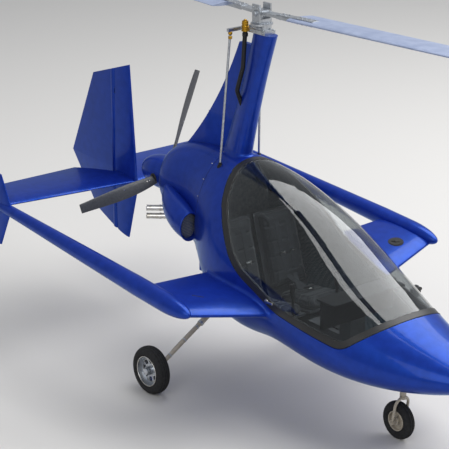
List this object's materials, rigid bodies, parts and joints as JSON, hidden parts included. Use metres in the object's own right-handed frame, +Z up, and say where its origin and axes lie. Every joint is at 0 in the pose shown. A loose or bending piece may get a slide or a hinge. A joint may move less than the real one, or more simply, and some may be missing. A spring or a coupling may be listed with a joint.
{
  "type": "cabin gyroplane",
  "caption": "Enclosed side-by-side gyroplane with a teetering rotor on a faired mast, pusher propeller, stub wings, tail booms, finned tail and tricycle gear.",
  "frame": {"origin": "on the ground directly under the rotor hub, with the rotor parked fore and aft", "axes": "+X forward along the parked rotor and the nose, +Y to port, +Z up"},
  "size_m": [8.2976, 2.612, 3.0129],
  "materials": {
    "blue_paint": "deep metallic blue lacquer on composite",
    "black_frame": "satin black paint",
    "clear_glazing": "clear acrylic",
    "blade_aluminium": "pale anodised",
    "head_aluminium": "machined",
    "prop_composite": "dark grey composite",
    "drive_brass": "gold anodised",
    "rod_steel": "brushed",
    "leg_steel": "beige grey paint",
    "chrome_pipe": "polished",
    "engine_metal": "cast",
    "rim_metal": "machined",
    "tyre_rubber": "matte",
    "black_plastic": "matte black",
    "black_rubber": "matte black",
    "cabin_grey": "grey trim",
    "carbon_panel": "carbon weave",
    "seat_fabric": "dark woven cover"
  },
  "bodies": {
    "airframe": {"pod_shell": "blue_paint", "pod_belly": "blue_paint", "engine_cowl": "blue_paint", "mast_pylon": "blue_paint", "mast_gusset": "blue_paint", "boom_left": "blue_paint", "boom_right": "blue_paint", "wing_left": "blue_paint", "wing_right": "blue_paint", "tailplane": "blue_paint", "centre_fin_upper": "blue_paint", "centre_fin_lower": "blue_paint", "outer_fins": "blue_paint", "cheek_scoops": "blue_paint", "belly_outlet": "blue_paint", "canopy_hinge_feet": "black_frame", "rotor_head": "head_aluminium", "control_yoke": "head_aluminium", "rotor_drive": "drive_brass", "control_rods": "rod_steel", "nose_strut": "rod_steel", "main_axles": "rod_steel", "tie_down_lugs": "rod_steel", "gear_legs": "leg_steel", "exhaust_pipes": "chrome_pipe", "engine_block": "engine_metal", "firewall": "engine_metal", "fuel_cap": "black_plastic", "instrument_panel": "black_plastic", "control_sticks": "black_plastic", "rudder_pedals": "black_plastic", "rotor_drive_shaft": "black_rubber", "centre_console": "cabin_grey", "seat_shells": "cabin_grey", "cabin_floor": "carbon_panel", "seat_pads": "seat_fabric"},
    "rotor": {"rotor_hub": "head_aluminium", "teeter_bar": "head_aluminium", "rotor_blades": "blade_aluminium"},
    "propeller": {"spinner": "blue_paint", "propeller_blades": "prop_composite"},
    "wheel_left": {"main_rim_left": "rim_metal", "main_tyre_left": "tyre_rubber"},
    "wheel_right": {"main_rim_right": "rim_metal", "main_tyre_right": "tyre_rubber"},
    "nose_fork": {"nose_fork": "leg_steel"},
    "nose_wheel": {"nose_rim": "rim_metal", "nose_tyre": "tyre_rubber"},
    "canopy": {"canopy_frame": "black_frame", "canopy_glass": "clear_glazing", "canopy_hinge_knuckles": "black_frame"},
    "rudder": {"rudder": "blue_paint"}
  },
  "joints": [
    {"name": "rotor_spin", "type": "hinge", "parent": "airframe", "child": "rotor", "pos_m": [0, 0, 2.811], "axis": [0, 0, 1], "continuous": true},
    {"name": "propeller_spin", "type": "hinge", "parent": "airframe", "child": "propeller", "pos_m": [-1.16, 0, 1.346], "axis": [1, 0, 0], "continuous": true},
    {"name": "wheel_left_spin", "type": "hinge", "parent": "airframe", "child": "wheel_left", "pos_m": [-0.2, 0.914, 0.19], "axis": [0, 1, 0], "continuous": true},
    {"name": "wheel_right_spin", "type": "hinge", "parent": "airframe", "child": "wheel_right", "pos_m": [-0.2, -0.914, 0.19], "axis": [0, 1, 0], "continuous": true},
    {"name": "nose_steer", "type": "hinge", "parent": "airframe", "child": "nose_fork", "pos_m": [1.6, 0, 0.38], "axis": [0, 0, 1], "range_deg": [-25, 25]},
    {"name": "nose_wheel_spin", "type": "hinge", "parent": "nose_fork", "child": "nose_wheel", "pos_m": [1.566, 0, 0.145], "axis": [0, 1, 0], "continuous": true},
    {"name": "canopy_open", "type": "hinge", "parent": "airframe", "child": "canopy", "pos_m": [0.985, 0.6, 0.892], "axis": [-1, 0, 0], "range_deg": [0, 60]},
    {"name": "rudder_swing", "type": "hinge", "parent": "airframe", "child": "rudder", "pos_m": [-1.88, 0, 1.4], "axis": [0, 0, 1], "range_deg": [-25, 25]}
  ]
}
